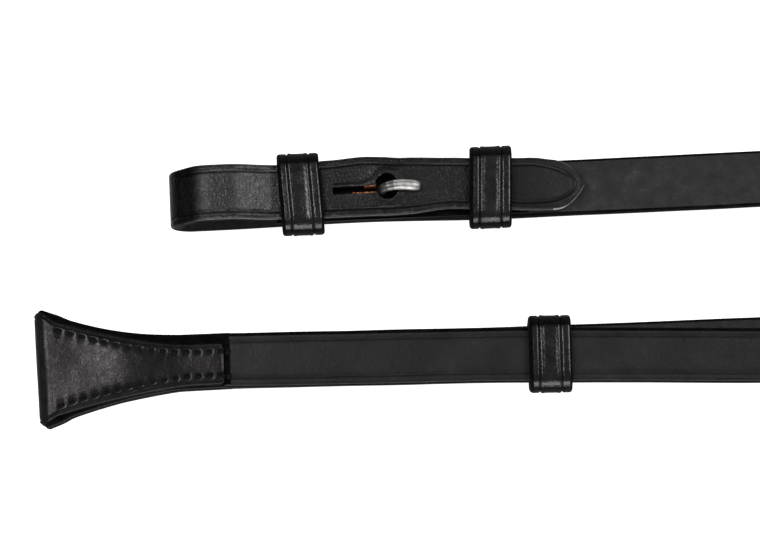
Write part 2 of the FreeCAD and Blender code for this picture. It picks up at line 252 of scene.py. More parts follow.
NEAR_OUT = [
    (27.6, 0.15, 6.7), (66, 0.0, 6.7), (104, 0.15, 6.7), (132, -0.35, 6.7), (160, -0.9, 5.6),
    (190, -1.65, 5.3), (209.5, -0.6, 7.9), (229, 2.2, 10.8), (248.5, 3.7, 9.7), (268, 3.7, 8.0),
    (289.6, 3.8, 8.0), (312.4, 14.3, 8.0), (326.3, 31.0, 8.0),
]
NEAR_BACK = [
    (334, 53.3, 8.0), (300, 53.7, 8.0), (266, 52.9, 8.0), (247, 52.5, 8.3), (228, 52.1, 6.9),
    (209, 51.7, 3.5), (190, 51.35, 1.7), (150, 50.2, 1.7), (105.2, 49.1, 1.7),
]
OFF_OUT = [
    (27.6, 0.35, 3.1), (66, 0.7, 3.1), (104, 0.7, 3.1), (132, 1.1, 3.1), (160, 1.8, 2.0),
    (190, 2.5, 1.7), (209.5, 1.8, 3.6), (229, 1.1, 6.9), (248.5, 0.4, 8.2), (268, 0.1, 8.0),
    (290.4, 0.1, 8.0), (314.8, 11.5, 8.0), (329.05, 28.6, 8.0),
]
OFF_BACK = [
    (332, 58.2, 8.0), (294, 61.4, 8.0), (262, 65.6, 8.0), (231, 66.5, 8.0), (220, 77, 8.0),
    (220, 91.6, 8.0), (230.6, 101.9, 8.0), (250, 102.2, 9.3), (272, 102, 12.1),
    (314.2, 102, 12.0),
]
NEAR_LENGTH = 1.22        # metres
OFF_LENGTH = 1.22
STRAP_WIDTH = 0.016

# Camera
AIM = Vector((72.65, 26.4, 0.0))
ELEVATION = math.radians(80)
ROLL = math.radians(1.2)
DISTANCE = 900.0
FRAME_WIDTH = 221.2


def smooth(share):
    share = min(max(share, 0.0), 1.0)
    return share * share * (3 - 2 * share)


def between(x, knots):
    """Smooth interpolation of (x, value) knots."""
    if x <= knots[0][0]:
        return knots[0][1]
    for (x0, v0), (x1, v1) in zip(knots, knots[1:]):
        if x <= x1:
            return v0 + (v1 - v0) * smooth((x - x0) / (x1 - x0))
    return knots[-1][1]


# ---------------------------------------------------------------- camera and lights

def make_camera():
    back = Vector((0, -math.cos(ELEVATION), math.sin(ELEVATION)))
    right, up = Vector((1, 0, 0)), Vector((0, math.sin(ELEVATION), math.cos(ELEVATION)))
    rolled_right = right * math.cos(ROLL) - up * math.sin(ROLL)
    rolled_up = right * math.sin(ROLL) + up * math.cos(ROLL)
    data = bpy.data.cameras.new("camera")
    data.sensor_width = 36
    data.lens = data.sensor_width * DISTANCE / FRAME_WIDTH
    data.clip_start = 0.05
    camera = bpy.data.objects.new("camera", data)
    turn = Matrix((rolled_right, rolled_up, back)).transposed().to_4x4()
    camera.matrix_world = Matrix.Translation((AIM + back * DISTANCE) * MM) @ turn
    bpy.context.scene.collection.objects.link(camera)
    bpy.context.scene.camera = camera


def area_light(name, at, aim, size, power):
    data = bpy.data.lights.new(name, "AREA")
    data.shape = "RECTANGLE"
    data.size, data.size_y = size
    data.energy = power
    light = bpy.data.objects.new(name, data)
    light.location = at
    light.rotation_mode = "QUATERNION"
    light.rotation_quaternion = (Vector(at) - Vector(aim)).to_track_quat("Z", "Y")
    bpy.context.scene.collection.objects.link(light)


def make_studio():
    middle = (0.06, 0.02, 0.0)
    area_light("front_softbox", (0.05, -0.9, 0.45), middle, (1.1, 0.35), 6.4)
    area_light("right_softbox", (0.70, 0.3, 0.80), middle, (0.35, 0.5), 3.8)
    area_light("left_softbox", (-0.42, 0.25, 0.95), middle, (0.16, 0.5), 3.2)
    area_light("hand_softbox", (-0.24, 0.15, 1.0), (0.0, 0.0, 0.0), (0.12, 0.2), 0.55)
    world = bpy.data.worlds.new("studio")
    world.use_nodes = True
    world.node_tree.nodes["Background"].inputs["Color"].default_value = (1, 1, 1, 1)
    world.node_tree.nodes["Background"].inputs["Strength"].default_value = 0.10
    bpy.context.scene.world = world
    bpy.context.scene.view_settings.view_transform = "Standard"


# ---------------------------------------------------------------- materials

class Nodes:
    """A material's node tree with short calls for the nodes used here."""

    def __init__(self, name):
        self.material = bpy.data.materials.new(name)
        self.material.use_nodes = True
        self.tree = self.material.node_tree
        self.shader = self.tree.nodes["Principled BSDF"]
        place = self.tree.nodes.new("ShaderNodeTexCoord")
        self.place = place.outputs["Object"]

    def add(self, kind, links=(), **values):
        node = self.tree.nodes.new(kind)
        for key, value in values.items():
            setattr(node, key, value)
        for socket, source in links:
            self.set(node, socket, source)
        return node

    def set(self, node, socket, value):
        if isinstance(value, bpy.types.NodeSocket):
            self.tree.links.new(value, node.inputs[socket])
        else:
            node.inputs[socket].default_value = value

    def stretched(self, scale):
        node = self.add("ShaderNodeMapping", [("Vector", self.place), ("Scale", scale)])
        return node.outputs["Vector"]

    def noise(self, scale, detail=3.0, rough=0.55, place=None):
        links = [("Vector", place or self.place), ("Scale", scale), ("Detail", detail)]
        return self.add("ShaderNodeTexNoise", links + [("Roughness", rough)]).outputs["Fac"]

    def cells(self, scale, feature, randomness=1.0):
        links = [("Vector", self.place), ("Scale", scale), ("Randomness", randomness)]
        return self.add("ShaderNodeTexVoronoi", links, feature=feature).outputs["Distance"]

    def ranged(self, source, low, high, to_low, to_high):
        links = [("Value", source), ("From Min", low), ("From Max", high)]
        links += [("To Min", to_low), ("To Max", to_high)]
        return self.add("ShaderNodeMapRange", links).outputs["Result"]

    def ramp(self, source, *stops):
        node = self.add("ShaderNodeValToRGB", [("Fac", source)])
        while len(node.color_ramp.elements) < len(stops):
            node.color_ramp.elements.new(0.5)
        for element, (at, colour) in zip(node.color_ramp.elements, stops):
            element.position = at
            element.color = (*colour, 1)
        return node.outputs["Color"]

    def bump(self, height, strength, distance, after=None):
        links = [("Height", height), ("Strength", strength), ("Distance", distance * MM)]
        if after:
            links.append(("Normal", after))
        return self.add("ShaderNodeBump", links).outputs["Normal"]

    def finish(self, **sockets):
        for name, value in sockets.items():
            self.set(self.shader, name.replace("_", " "), value)
        return self.material


def grain_leather(name, shine, pebble, gloss, gleam=(1, 1, 1, 1)):
    """Black bridle leather, grain side: fine pebbles, soft wear marks and a waxed sheen.

    It grows matte and darker where the mesh's attribute read below rises to 1; on the billet this paints shade round
    its fold.
    """
    n = Nodes(name)
    cloud = n.noise(90, 4)
    tint = n.ramp(cloud, (0.35, (0.006, 0.006, 0.007)), (0.62, (0.013, 0.012, 0.013)),
                  (0.78, (0.024, 0.022, 0.022)))
    wear_and_shade = n.noise(420, 5, 0.65)
    rough = n.ranged(wear_and_shade, 0.3, 0.75, shine - 0.06, shine + 0.16)
    fine = n.bump(n.cells(2600, "SMOOTH_F1"), 0.35 * pebble, 0.10)
    pores = n.bump(n.cells(1100, "F1", 0.9), 0.30 * pebble, 0.16, fine)
    folds = n.bump(n.noise(160, 5, 0.6), 0.5, 0.35, pores)
    # Painted shade: where the billet's attribute rises, the colour darkens and the sheen goes.
    dull = n.add("ShaderNodeAttribute", attribute_name="dull").outputs["Fac"]
    light = n.ranged(dull, 0, 1, 1.0, 0.35)
    dimmed = n.add("ShaderNodeVectorMath", [("Vector", tint), ("Scale", light)], operation="SCALE")
    return n.finish(Base_Color=dimmed.outputs["Vector"], Roughness=rough, Normal=folds,
                    Coat_Weight=n.ranged(dull, 0, 1, 0.08, 0.0), Coat_Roughness=0.25,
                    Specular_IOR_Level=n.ranged(dull, 0, 1, gloss, 0.04), Specular_Tint=gleam)


def bend_shade_leather(name):
    """Grain at the bends, painted in deep shade: near black and matte, with its pores pulled into short creases."""
    n = Nodes(name)
    creases = n.noise(700, 5, 0.6, n.stretched((1.6, 0.5, 1.6)))
    tint = n.ramp(creases, (0.35, (0.002, 0.002, 0.002)), (0.75, (0.008, 0.007, 0.007)))
    rough = n.ranged(creases, 0.3, 0.75, 0.5, 0.7)
    return n.finish(Base_Color=tint, Roughness=rough, Normal=n.bump(creases, 0.6, 0.2),
                    Specular_IOR_Level=0.04)


def flesh_leather(name):
    """The flesh side: matte, dyed and slightly fibrous, mottled by handling."""
    n = Nodes(name)
    fibres = n.noise(1500, 6, 0.7, n.stretched((0.45, 1.0, 1.0)))
    cloud = n.noise(240, 4, 0.6)
    mixed = n.add("ShaderNodeMix", [("Factor", 0.45), ("A", fibres), ("B", cloud)])
    tint = n.ramp(mixed.outputs["Result"], (0.34, (0.010, 0.010, 0.011)),
                  (0.55, (0.030, 0.029, 0.029)), (0.70, (0.068, 0.064, 0.063)))
    rough = n.ranged(fibres, 0.3, 0.7, 0.62, 0.9)
    nap = n.bump(fibres, 0.6, 0.16)
    lumps = n.bump(cloud, 0.5, 0.4, nap)
    return n.finish(Base_Color=tint, Roughness=rough, Normal=lumps, Specular_IOR_Level=0.35)


def burnished_edge(name):
    """Dyed, burnished cut edge: deep black and matte, with faint fibre lines along it."""
    n = Nodes(name)
    lines = n.noise(900, 4, 0.6, n.stretched((0.3, 1.0, 2.2)))
    tint = n.ramp(lines, (0.4, (0.002, 0.002, 0.002)), (0.75, (0.009, 0.008, 0.008)))
    rough = n.ranged(lines, 0.3, 0.7, 0.55, 0.75)
    return n.finish(Base_Color=tint, Roughness=rough, Normal=n.bump(lines, 0.4, 0.12),
                    Specular_IOR_Level=0.02)


def raw_leather(name):
    """The slot's cut edge: undyed tan leather with dye soaked into it in patches."""
    n = Nodes(name)
    fibres = n.noise(1500, 5, 0.7)
    tint = n.ramp(fibres, (0.36, (0.012, 0.006, 0.004)), (0.48, (0.14, 0.05, 0.018)),
                  (0.60, (0.80, 0.32, 0.12)))
    return n.finish(Base_Color=tint, Roughness=0.8, Normal=n.bump(fibres, 0.6, 0.15),
                    Specular_IOR_Level=0.3)


def rubbed_edge(name):
    """A painted highlight on a cut edge, so that it shows as a light line."""
    n = Nodes(name)
    highlight_streaks = n.noise(300, 4, 0.6)
    tint = n.ramp(highlight_streaks, (0.35, (0.05, 0.05, 0.05)), (0.6, (0.30, 0.29, 0.28)))
    return n.finish(Base_Color=tint, Roughness=0.5, Specular_IOR_Level=0.4)


def waxed_thread(name):
    """Black waxed thread, two strands twisted together."""
    n = Nodes(name)
    wave = n.add("ShaderNodeTexWave", [("Vector", n.place), ("Scale", 700.0), ("Distortion", 0.8)],
                 bands_direction="DIAGONAL")
    twist = wave.outputs["Fac"]
    tint = n.ramp(twist, (0.3, (0.0015, 0.0015, 0.0015)), (0.9, (0.012, 0.011, 0.011)))
    return n.finish(Base_Color=tint, Roughness=0.7, Normal=n.bump(twist, 0.5, 0.1),
                    Specular_IOR_Level=0.1)


def plated_steel(name, light):
    """Nickel plate with fine scratches and cloudy wear. light scales how bright it is; the darker copies paint shade
    on the hook.
    """
    n = Nodes(name)
    scratches = n.noise(1300, 5, 0.7, n.stretched((0.25, 1.6, 1.6)))
    cloud = n.noise(500, 3)
    dark, bright = (tuple(light * c for c in colour)
                    for colour in ((0.45, 0.44, 0.42), (0.88, 0.87, 0.85)))
    tint = n.ramp(cloud, (0.35, dark), (0.65, bright))
    rough = n.ranged(scratches, 0.35, 0.7, 0.40, 0.58)
    return n.finish(Base_Color=tint, Metallic=1.0, Roughness=rough,
                    Normal=n.bump(scratches, 0.25, 0.06))


def pale_floor(name):
    n = Nodes(name)
    tint = n.ramp(n.noise(6, 2), (0.3, (0.93, 0.93, 0.93)), (0.7, (0.96, 0.96, 0.96)))
    return n.finish(Base_Color=tint, Roughness=0.9, Specular_IOR_Level=0.1,
                    Emission_Color=(1, 1, 1, 1), Emission_Strength=0.9)


# ---------------------------------------------------------------- mesh building

# The zones of a piece's surface. Each list of looks below is in this order.
# The fourth zone is painted shade on bends that face away from the lights. A billet has none; its fold is darkened
# through its attribute instead.
GRAIN, FLESH, EDGE, BEND_SHADE = range(4)
# The sixth zone is a painted highlight along the billet point's lower bevel.
RAW, LOOP, EDGE_HIGHLIGHT = range(3, 6)  # a billet has these and no BEND_SHADE
# A hook's zones are lit and shaded copies of one steel: painted shade on its shank and bend.
DEEP_SHADE, HALF_SHADE, BRIGHT = range(3)  # a hook has these only
SHARP = math.radians(50)  # an edge that turns more than this stays sharp


def new_object(name, mesh, materials):
    for material in materials:
        mesh.materials.append(material)
    mesh.polygons.foreach_set("use_smooth", [True] * len(mesh.polygons))
    mesh.set_sharp_from_angle(angle=SHARP)
    made = bpy.data.objects.new(name, mesh)
    bpy.context.scene.collection.objects.link(made)
    return made


def skin(name, rings, zones, materials, closed=False):
    """A closed surface through rings of points, with a list of its segments' materials a ring."""
    bm = bmesh.new()
    rows = [[bm.verts.new(p * MM) for p in ring] for ring in rings]
    pairs = list(zip(rows, rows[1:]))
    if closed:
        pairs.append((rows[-1], rows[0]))
    count = len(rings[0])
    for (a, b), row in zip(pairs, zones):
        for k in range(count):
            j = (k + 1) % count
            bm.faces.new((a[k], a[j], b[j], b[k])).material_index = row[k]
    if not closed:
        bm.faces.new(list(reversed(rows[0]))).material_index = EDGE
        bm.faces.new(rows[-1]).material_index = EDGE
    bmesh.ops.recalc_face_normals(bm, faces=bm.faces)
    mesh = bpy.data.meshes.new(name)
    bm.to_mesh(mesh)
    bm.free()
    return new_object(name, mesh, materials)


def strap_profile(half, thick, crease):
    """The strap's section as (across, out, zone) points, with the grain side at positive out."""
    top, corner = thick / 2, min(0.85, thick * 0.42)
    bevel = 1.35 * corner
    points = []
    for k in range(5):
        a = math.radians(90 * k / 4)
        zone = GRAIN if k < 3 else EDGE
        points.append((-half + bevel * (1 - math.sin(a)), top - corner * (1 - math.cos(a)), zone))
    points.reverse()
    groove = [(-half + CREASE_INSET + d * 0.55, top - crease * depth, GRAIN)
              for d, depth in ((-1.4, 0.0), (-0.6, 0.35), (0, 1.0), (0.6, 0.35), (1.4, 0.0))]
    points += groove
    inner = half - CREASE_INSET - 1.3
    points += [(inner * (k / 4 - 1), top + 0.03, GRAIN) for k in range(9)]
    points += [(-a, b, z) for a, b, z in reversed(groove)]
    points += [(-a, b, EDGE) for a, b, z in reversed(points[:5])]
    low = [(half, -top + corner, EDGE), (half - corner * 0.35, -top + corner * 0.3, EDGE)]
    low += [(half - corner, -top, FLESH), (half * 0.45, -top, FLESH), (-half * 0.45, -top, FLESH)]
    low += [(-half + corner, -top, EDGE), (-half + corner * 0.35, -top + corner * 0.3, EDGE)]
    low += [(-half, -top + corner, EDGE)]
    return points + low


def ripple(at, size, amount):
    """A small smooth unevenness that depends only on the place."""
    return noise.noise(Vector(at) / size) * amount


def strap_rings(frames, side, crease=CREASE_DEPTH):
    """Rings for frames of (point, width, out, half, thick). side -1 puts the grain side down."""
    rings, zones = [], []
    for at, width, out, half, thick in frames:
        edge = half + ripple(at, 23.0, 0.12)
        section = strap_profile(edge, thick, crease)
        zones.append([z for _, _, z in section])
        ring = []
        for a, b, _ in section:
            lift = ripple(at + width * a, 9.0, 0.05)
            ring.append(at + width * a + out * (side * (b + lift)))
        rings.append(ring)
    return rings, zones


# ---------------------------------------------------------------- the reins

def roll_turns(offset):
    """Both arms of the roll and its S-shaped middle, for a strap offset to the pair's left."""
    slope = ROLL_PITCH / math.pi
    inner = (ROLL_RADIUS - ROLL_CORE) / slope
    points = []

    def spot(centre, radius, angle):
        x, y = centre.x + radius * math.sin(angle), centre.y + radius * math.cos(angle)
        points.append((x, y, 8.0))

    count = round((inner - ROLL_ENTRY) / TURN_STEP)
    for k in range(1, count):
        t = ROLL_ENTRY + (inner - ROLL_ENTRY) * k / count
        spot(ROLL_CENTRE, ROLL_RADIUS - slope * t + offset, t)
    way = Vector((math.sin(inner), math.cos(inner)))
    core = ROLL_CORE / 2
    steps = round(math.pi / CORE_STEP)
    for k in range(steps + 1):
        spot(ROLL_CENTRE + way * core, core + offset, inner + math.pi * k / steps)
    for k in range(1, steps + 1):
        spot(ROLL_CENTRE - way * core, core - offset, inner - math.pi * k / steps)
    outer = inner + math.pi
    count = round(outer / TURN_STEP)
    for k in range(1, count + 1):
        t = outer * (1 - k / count)
        spot(ROLL_CENTRE, ROLL_RADIUS + ROLL_PITCH - slope * t - offset, t)
    return points


def route_line(name, points):
    """The points along the smooth NURBS line of a route, in millimetres."""
    curve = bpy.data.curves.new(name, "CURVE")
    curve.dimensions = "3D"
    spline = curve.splines.new("NURBS")
    spline.points.add(len(points) - 1)
    for spot, p in zip(spline.points, points):
        spot.co = (*(Vector(p) * MM), 1)
    spline.order_u = 3
    spline.use_endpoint_u = True
    spline.resolution_u = 14
    holder = bpy.data.objects.new(name, curve)
    bpy.context.scene.collection.objects.link(holder)
    mesh = bpy.data.meshes.new_from_object(holder)
    spots = [v.co / MM for v in mesh.vertices]
    line = [a for a, b in zip(spots, spots[1:]) if (b - a).length > 0.2] + [spots[-1]]
    bpy.data.objects.remove(holder)
    bpy.data.curves.remove(curve)
    bpy.data.meshes.remove(mesh)
    return line


def make_rein(name, points, side, returns, materials):
    """A rein along its route. It turns on edge on the way out and, if it returns, flat again after."""
    line = route_line(name + "_line", points)
    frames = []
    for k, at in enumerate(line):
        ahead = line[min(k + 1, len(line) - 1)] - line[max(k - 1, 0)]
        along = ahead.normalized()
        left = Vector((-along.y, along.x, 0)).normalized()
        up = along.cross(left)
        lean = 90 * smooth((at.x - OUT_TWIST[0]) / (OUT_TWIST[1] - OUT_TWIST[0]))
        if k > len(line) / 2:
            lean = 90
            if returns:
                share = (at.x - BACK_TWIST[0]) / (BACK_TWIST[1] - BACK_TWIST[0])
                lean += 90 * smooth(share)
        lean = math.radians(lean)
        out = up * math.cos(lean) + left * math.sin(lean)
        width = left * math.cos(lean) - up * math.sin(lean)
        half = between(k / len(line), [(0.3, HALF_WIDTH), (0.7, BIT_HALF_WIDTH)])
        frames.append((at, width, out, half, THICK))
    rings, zones = strap_rings(frames, side)
    return skin(name, rings, zones, materials), [p * MM for p in line]


def make_reins(materials):
    near_points = NEAR_OUT + roll_turns(PAIR_HALF_STEP) + NEAR_BACK
    off_points = OFF_OUT + roll_turns(-PAIR_HALF_STEP) + OFF_BACK
    near, near_line = make_rein("rein_near", near_points, 1, True, materials)
    off, off_line = make_rein("rein_off", off_points, -1, False, materials)
    for strap in (near, off):
        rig.ride(strap, "reins")
        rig.slot(strap, "rein_leather")
    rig.replaces(near, "rein_near_lower", "rein_near_upper", "rein_roll")
    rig.replaces(off, "rein_off_lower", "rein_off_upper")
    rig.cord(near, exit=near_line[0], length=NEAR_LENGTH, diameter=STRAP_WIDTH, far_end="object",
            stiffness="medium", lay="coiled", path=near_line)
    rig.cord(off, exit=off_line[0], length=OFF_LENGTH, diameter=STRAP_WIDTH, far_end="object",
            stiffness="medium", lay="coiled", path=off_line)


# ---------------------------------------------------------------- the sewn hand end

def at_hand_end(point):
    """From the hand end's own frame, whose x = COVER_HALF_LENGTH is its strap end.

    Its fold is sewn a little askew.
    """
    x, y = point.x - COVER_HALF_LENGTH, point.y
    x -= FOLD_SKEW * y * smooth((-15.0 - point.x) / 10.0)
    c, s = math.cos(HAND_END_TURN), math.sin(HAND_END_TURN)
    return Vector((c * x - s * y, s * x + c * y, point.z)) + HAND_END_RIGHT


def rounded_corner(x, start, radius=2.0):
    """How much a corner rounding at start takes off the half width at x."""
    d = radius - min(radius, max(0.0, x - start))
    return radius - math.sqrt(radius * radius - d * d)


def flare_half(x):
    share = min(1.0, max(0.0, (FLARE_START - x) / FLARE_LENGTH))
    spread = FLARE_SPREAD * share ** 1.77 + FLARE_CORNER * smooth((-16.5 - x) / 4.0)
    return HALF_WIDTH + spread - rounded_corner(x, -COVER_HALF_LENGTH + COVER_THICK - 0.3, 1.5)


def flare_middle(x):
    """The flared ends bow a little to one side before they narrow to the strap."""
    share = min(1.0, (x + COVER_HALF_LENGTH) / FLARE_BOW_LENGTH)
    return -FLARE_BOW * math.sin(math.pi * share)


def cover_half(x):
    share = max(0.0, (COVER_START - x) / COVER_LENGTH)
    spread = COVER_SPREAD * smooth((-20.5 - x) / 5.0)
    return COVER_NARROW_HALF + COVER_GROWTH * share ** 1.5 + spread


def cover_middle(x):
    by_fold, by_end = COVER_DROP
    along = x + COVER_HALF_LENGTH
    return -by_fold * smooth(along / 8.0) - by_end * smooth(along / 40.0)


def stitch_x(k):
    return -COVER_HALF_LENGTH + 7.0 + STITCH_PITCH * k


def stitch_y(x, side):
    return cover_middle(x) + side * (cover_half(x) - STITCH_INSET)


def make_tail(name, base, side, materials):
    """A rein's flared end, between the leaves of the cover. Its grain side takes the black edge look, as painted
    shade, so that it shows as a dark band past them.
    """
    first, last = -COVER_HALF_LENGTH + COVER_THICK + 0.1, COVER_HALF_LENGTH + TAIL_REACH
    frames = []
    for k in range(61):
        x = first + (last - first) * (k / 60) ** 1.3
        at = at_hand_end(Vector((x, flare_middle(x), base + THICK / 2)))
        width = at_hand_end(Vector((x, flare_middle(x) + 1, base + THICK / 2))) - at
        frames.append((at, width, Vector((0, 0, 1)), flare_half(x) - 0.05, THICK + TAIL_SWELL))
    rings, zones = strap_rings(frames, side, crease=0.0)
    tail = skin(name, rings, zones, materials)
    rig.ride(tail, "reins")
    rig.replaces(tail, name)
    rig.slot(tail, "rein_leather")


def cover_profile(half, thick):
    """The cover leaf's section, with a rounded rim, a pressed line and fine steps at its stitches."""
    top = thick / 2
    rim = [
        (0.0, -top + 0.35, EDGE), (0.0, top - 0.55, EDGE), (0.2, top - 0.2, EDGE),
        (0.45, top + 0.02, GRAIN), (0.7, top + 0.03, GRAIN), (0.9, top - 0.10, GRAIN),
        (1.1, top - 0.18, GRAIN), (1.3, top - 0.08, GRAIN), (1.6, top + 0.02, GRAIN),
    ]
    rim += [(2.0 + 0.17 * k, top + 0.02, GRAIN) for k in range(7)]
    inner = half - 3.4
    right = [(half - inset, out, zone) for inset, out, zone in rim]
    middle = [(inner * (1 - k / 5), top + 0.02, GRAIN) for k in range(11)]
    left = [(-across, out, zone) for across, out, zone in reversed(right)]
    bottom = [(-half + 0.3, -top, EDGE), (0, -top, FLESH), (half - 0.3, -top, FLESH)]
    return right + middle + left + bottom


def stitch_pit(x, y):
    """Each stitch lies in a small dent that it has pulled into the leather."""
    k = min(STITCHES - 1, max(0, round((x - stitch_x(0)) / STITCH_PITCH)))
    along = 1 - smooth((abs(x - stitch_x(k)) - 0.6) / 0.8)
    rows = sum(math.exp(-((y - stitch_y(x, side)) / 0.65) ** 2) for side in (1, -1))
    return -0.22 * along * rows


def make_cover(materials):
    """One folded leaf: its top from the strap end to the fold, then back underneath."""
    radius = (STACK_TOP + COVER_THICK) / 2
    bend = COVER_HALF_LENGTH - 3.7
    reach = COVER_HALF_LENGTH + bend
    rows = 150
    path = [Vector((COVER_HALF_LENGTH - reach * k / rows, 0, 2 * radius - COVER_THICK / 2))
            for k in range(rows)]
    for k in range(25):
        a = math.radians(90 + 180 * k / 24)
        path.append(Vector((-bend + 3.0 * math.cos(a), 0,
                            radius + (radius - COVER_THICK / 2) * math.sin(a))))
    path += [Vector((-bend + reach * k / 50, 0, COVER_THICK / 2)) for k in range(1, 51)]
    rings, zones = [], []
    for k, p in enumerate(path):
        ahead = (path[min(k + 1, len(path) - 1)] - path[max(k - 1, 0)]).normalized()
        out = Vector((ahead.z, 0, -ahead.x))
        to_end = COVER_HALF_LENGTH - p.x
        half = cover_half(p.x) - rounded_corner(p.x, -COVER_HALF_LENGTH + 0.4)
        half -= 1.2 * (1 - math.sqrt(1 - (1 - min(1.0, to_end / 1.4)) ** 2))
        thick = COVER_THICK * (0.55 + 0.45 * smooth(to_end / 0.7))
        middle = cover_middle(p.x)
        section = cover_profile(half, thick)
        zones.append([z for _, _, z in section])
        ring = []
        for a, b, _ in section:
            y = a + middle
            crest = 0.75 * math.exp(-((p.x - 0.5 + 0.25 * y) / 10.0) ** 2)
            lift = crest + ripple((p.x, y, p.z), 12.0, 0.22) + ripple((p.x, y, p.z), 5.0, 0.05)
            lift *= 0.3 if out.z < 0.5 else smooth((half - abs(a)) / 4.0)
            if out.z > 0.9 and b > 0:
                lift += stitch_pit(p.x, y)
            ring.append(at_hand_end(p + Vector((0, y, 0)) + out * (b + lift)))
        rings.append(ring)
    cover = skin("hand_end_cover_leather", rings, zones, materials)
    # The cover's fold, where its faces turn away from the top, is painted in deep shade.
    for face in cover.data.polygons:
        if face.center.x < -bend * MM and face.normal.z < 0.8:
            face.material_index = BEND_SHADE
    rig.ride(cover, "reins")
    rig.replaces(cover, "hand_end_cover")
    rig.slot(cover, "cover_leather")


def thread_bead(bm, middle, along, up, length, radius):
    """One stitch: a thread that rises from its hole, lies on the leather and goes down again."""
    side = up.cross(along).normalized()
    rings = []
    for k in range(11):
        share = k / 10
        x = (share - 0.5) * length
        rise = math.sin(math.pi * share) ** 0.6
        swell = 0.75 + 0.25 * rise
        centre = middle + along * x + up * (radius * (1.1 * rise - 1.0))
        ring = []
        for j in range(8):
            a = 2 * math.pi * j / 8
            way = side * STITCH_SPREAD * math.cos(a) + up * math.sin(a)
            ring.append(bm.verts.new((centre + way * radius * swell) * MM))
        rings.append(ring)
    for a, b in zip(rings, rings[1:]):
        for j in range(8):
            i = (j + 1) % 8
            bm.faces.new((a[j], a[i], b[i], b[j]))
    bm.faces.new(list(reversed(rings[0])))
    bm.faces.new(rings[-1])


def make_hand_stitches(name, side, material):
    """A row of stitches through the cover. Its last stitch lies on the near rein."""
    bm = bmesh.new()
    up = Vector((0, 0, 1))
    height = STACK_TOP + COVER_THICK - 0.1
    for k in range(STITCHES):
        x = stitch_x(k)
        ahead, behind = (Vector((x + d, stitch_y(x + d, side), 0)) for d in (0.5, -0.5))
        middle = at_hand_end(Vector((x, stitch_y(x, side), height)))
        along = (at_hand_end(ahead) - at_hand_end(behind)).normalized()
        along = (along + Vector((0, STITCH_SLANT, 0))).normalized()
        thread_bead(bm, middle, along, up, *STITCH_SIZE)
    x = COVER_HALF_LENGTH + LAST_STITCH
    middle = at_hand_end(Vector((x, stitch_y(x, side), STACK_TOP + 0.1)))
    thread_bead(bm, middle, Vector((1, -0.1, 0)).normalized(), up, *LAST_STITCH_SIZE)
    bmesh.ops.recalc_face_normals(bm, faces=bm.faces)
    mesh = bpy.data.meshes.new(name)
    bm.to_mesh(mesh)
    bm.free()
    stitches = new_object(name + "_thread", mesh, [material])
    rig.ride(stitches, "reins")
    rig.replaces(stitches, name)
    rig.slot(stitches, "waxed_thread")


# ---------------------------------------------------------------- keepers and runner

def loop_profile(width, thick, grooves):
    """A keeper strip's section: rounded rims and two narrow grooves with a bead on their inner side."""
    half, top = width / 2, thick
    rim = [(half, top - 0.75), (half - 0.2, top - 0.32), (half - 0.6, top - 0.06), (half - 1.1, top),
           (half - 1.8, top)]
    knots = [(at, top) for at in (-1.2, 0.0, 1.2)]
    knots += rim + [(-a, b) for a, b in rim]
    for at in grooves:
        inwards = -math.copysign(1.0, at)
        knots += [(at + inwards * d, top + rise)
                  for d, rise in ((-0.7, 0.0), (-0.32, -0.02), (-0.16, -0.22), (0.0, -0.36),
                                  (0.16, -0.22), (0.32, 0.0), (0.62, 0.12), (0.9, 0.13), (1.3, 0.03))]
    knots.sort()
    zones = [EDGE] * 3 + [GRAIN] * (len(knots) - 6) + [EDGE] * 3
    points = [(a, b, z) for (a, b), z in zip(knots, zones)]
    return points + [(half, 0.3, EDGE), (half - 0.3, 0, FLESH), (-half + 0.3, 0, EDGE),
                     (-half, 0.3, EDGE)]


def rounded_loop(half, low, high, top_radius, low_radius):
    """Points and outward directions round a keeper's inside, in its (w, z) plane."""
    corners = [
        (half, low, low_radius, -90), (half, high, top_radius, 0),
        (-half, high, top_radius, 90), (-half, low, low_radius, 180),
    ]
    line = []
    for w, z, radius, start in corners:
        centre = (w - math.copysign(radius, w), z + (radius if z == low else -radius))
        for k in range(9):
            a = math.radians(start + 90 * k / 8)
            way = (math.cos(a), math.sin(a))
            line.append((centre[0] + radius * way[0], centre[1] + radius * way[1], *way))
        if start in (0, 180):
            end = -1 if start == 0 else 1
            for k in range(1, 8):
                share = k / 8
                at = centre[0] + (-2 * centre[0]) * share
                line.append((at, z, 0.0, math.sin(math.radians(start + 90))))
    return line


def make_loop(name, place, materials, inner_half, low, high, thick, base_thick, lean, crown):
    """A closed leather strip about the u axis; place puts (u, w, z) into the frame."""
    grooves = (-LOOP_WIDTH / 2 + 2.9, LOOP_WIDTH / 2 - 3.0)
    rings, all_zones = [], []
    for w, z, out_w, out_z in rounded_loop(inner_half, low, high, 2.2, 0.4):
        on_top = smooth((z - low) / 2.5)
        here = base_thick + (thick - base_thick) * on_top
        section = loop_profile(LOOP_WIDTH, here, grooves)
        # Where the bend faces up less than the limit, its grain is painted in deep shade.
        shaded = out_z < BEND_SHADE_FACING[0 if out_w > 0 else 1]
        zones = [BEND_SHADE if s[2] == GRAIN and shaded else s[2] for s in section]
        all_zones.append(zones)
        dome = crown * (1 - (w / (inner_half + thick)) ** 2) if out_z > 0.9 else 0.0
        ring = []
        for a, b, _ in section:
            if b > here / 2:
                b += ripple((a, w * 0.7, z), 6.0, 0.1)
            ring.append(place(a + lean * w, w + out_w * b, z + out_z * b + dome))
        rings.append(ring)
    return skin(name, rings, all_zones, materials, closed=True)


